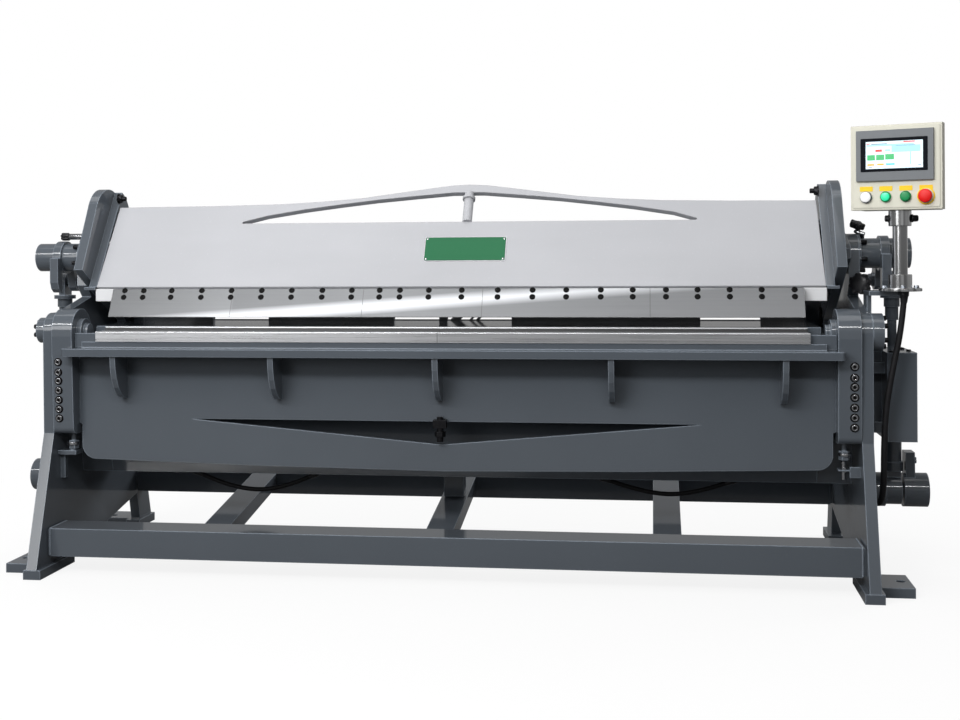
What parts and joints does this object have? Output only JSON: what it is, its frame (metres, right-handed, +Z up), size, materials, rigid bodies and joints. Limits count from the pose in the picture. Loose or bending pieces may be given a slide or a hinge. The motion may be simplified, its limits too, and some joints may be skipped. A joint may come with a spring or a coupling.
{
  "type": "hydraulic sheet metal folder",
  "caption": "Bench-height sheet folder with side frames, a swinging clamp beam, a folding leaf on end arms, a crowning slot, clamp levers and cylinders, and a post-mounted control box.",
  "frame": {"origin": "on the floor, at the centre of the four anchor holes", "axes": "+X to the right along the fold line, +Y to the back, +Z up; the folding leaf is at the front (-Y)"},
  "size_m": [2.688, 0.793, 1.219],
  "materials": {
    "slate_paint": "satin grey enamel",
    "light_paint": "satin light grey enamel",
    "blade_steel": "ground and polished",
    "plain_steel": "turned",
    "dark_steel": "blackened",
    "post_steel": "polished",
    "box_paint": "smooth cream powder coat",
    "panel_plastic": "matt grey",
    "knob_plastic": "matt black",
    "white_plastic": "gloss white",
    "lit_plastic": "lit green",
    "green_plastic": "gloss green",
    "red_plastic": "gloss red",
    "cable_rubber": "matt black"
  },
  "bodies": {
    "frame": {"side_frame_left": "slate_paint", "side_frame_right": "slate_paint", "front_feet": "slate_paint", "rear_feet": "slate_paint", "front_tie_beam": "slate_paint", "rear_tie_beam": "slate_paint", "cross_members": "slate_paint", "bed_beam": "slate_paint", "bed_table": "blade_steel", "bed_blade": "blade_steel", "back_stop": "slate_paint", "pivot_bearing_left": "slate_paint", "pivot_bearing_right": "slate_paint", "shaft_bearing_left": "slate_paint", "shaft_bearing_right": "slate_paint", "cylinder_trunnion_left": "slate_paint", "cylinder_trunnion_right": "slate_paint", "beam_pivot_pins": "dark_steel", "leaf_stop_left": "slate_paint", "sensor_bracket": "slate_paint", "proximity_sensor": "plain_steel", "control_cabinet": "slate_paint", "post_bracket": "slate_paint", "control_post": "post_steel", "lock_knobs": "knob_plastic", "hose_left": "cable_rubber", "hose_right": "cable_rubber", "control_cable": "cable_rubber"},
    "leaf": {"leaf_flange": "slate_paint", "leaf_web": "slate_paint", "leaf_gussets": "slate_paint", "leaf_blade": "blade_steel", "crowning_screw": "dark_steel", "leaf_arm_left": "slate_paint", "leaf_arm_right": "slate_paint", "pivot_pin_left": "plain_steel", "pivot_pin_right": "plain_steel"},
    "beam": {"apron_plate": "light_paint", "truss_post": "light_paint", "beam_box": "slate_paint", "beam_foot": "light_paint", "nose_blade": "blade_steel", "end_plate_left": "slate_paint", "end_plate_right": "slate_paint", "swing_arm_left": "slate_paint", "swing_arm_right": "slate_paint"},
    "drive": {"clamp_shaft": "slate_paint", "shaft_cranks": "slate_paint", "shaft_lever_left": "slate_paint", "shaft_lever_right": "slate_paint"},
    "cylinder_left": {"clamp_cylinder_left": "slate_paint"},
    "cylinder_right": {"clamp_cylinder_right": "slate_paint"},
    "rod_left": {"clamp_rod_left": "plain_steel"},
    "rod_right": {"clamp_rod_right": "plain_steel"},
    "control": {"control_box": "box_paint", "operator_panel": "panel_plastic"},
    "white_button": {"button_white": "white_plastic"},
    "lit_button": {"button_lit": "lit_plastic"},
    "green_button": {"button_green": "green_plastic"},
    "red_button": {"stop_button": "red_plastic"}
  },
  "joints": [
    {"name": "leaf_fold", "type": "hinge", "parent": "frame", "child": "leaf", "pos_m": [0, -0.28, 0.676], "axis": [-1, 0, 0], "range_deg": [0, 110]},
    {"name": "beam_swing", "type": "hinge", "parent": "frame", "child": "beam", "pos_m": [0, 0.106, 0.7], "axis": [1, 0, 0], "range_deg": [-4, 3.95]},
    {"name": "clamp_turn", "type": "hinge", "parent": "frame", "child": "drive", "pos_m": [0, -0.054, 0.884], "axis": [1, 0, 0], "range_deg": [-10.6, 10.47]},
    {"name": "cylinder_tilt_left", "type": "hinge", "parent": "frame", "child": "cylinder_left", "pos_m": [-1.25, 0.0328, 0.207], "axis": [1, 0, 0], "range_deg": [-1.5, 1.52]},
    {"name": "rod_slide_left", "type": "slide", "parent": "cylinder_left", "child": "rod_left", "axis": [0, 0, 1], "range_m": [-0.017, 0.0168]},
    {"name": "cylinder_tilt_right", "type": "hinge", "parent": "frame", "child": "cylinder_right", "pos_m": [1.25, 0.0328, 0.207], "axis": [1, 0, 0], "range_deg": [-1.5, 1.52]},
    {"name": "rod_slide_right", "type": "slide", "parent": "cylinder_right", "child": "rod_right", "axis": [0, 0, 1], "range_m": [-0.017, 0.0168]},
    {"name": "control_turn", "type": "hinge", "parent": "frame", "child": "control", "pos_m": [1.217, -0.274, 0.997], "axis": [0, 0, 1], "range_deg": [-60, 60]},
    {"name": "white_press", "type": "slide", "parent": "control", "child": "white_button", "axis": [0.3891, 0.9212, 0], "range_m": [0, 0.0035], "stiffness_N_per_m": 700, "springref_m": -0.003},
    {"name": "lit_press", "type": "slide", "parent": "control", "child": "lit_button", "axis": [0.3891, 0.9212, 0], "range_m": [0, 0.0035], "stiffness_N_per_m": 700, "springref_m": -0.003},
    {"name": "green_press", "type": "slide", "parent": "control", "child": "green_button", "axis": [0.3891, 0.9212, 0], "range_m": [0, 0.0035], "stiffness_N_per_m": 700, "springref_m": -0.003},
    {"name": "red_press", "type": "slide", "parent": "control", "child": "red_button", "axis": [0.3891, 0.9212, 0], "range_m": [0, 0.0035], "stiffness_N_per_m": 700, "springref_m": -0.003}
  ],
  "couplings": [
    {"joint": "clamp_turn", "follows": "beam_swing", "ratio": 2.575},
    {"joint": "cylinder_tilt_left", "follows": "beam_swing", "ratio": -0.305},
    {"joint": "rod_slide_left", "follows": "beam_swing", "m_per_rad": 0.229},
    {"joint": "cylinder_tilt_right", "follows": "beam_swing", "ratio": -0.305},
    {"joint": "rod_slide_right", "follows": "beam_swing", "m_per_rad": 0.229}
  ]
}
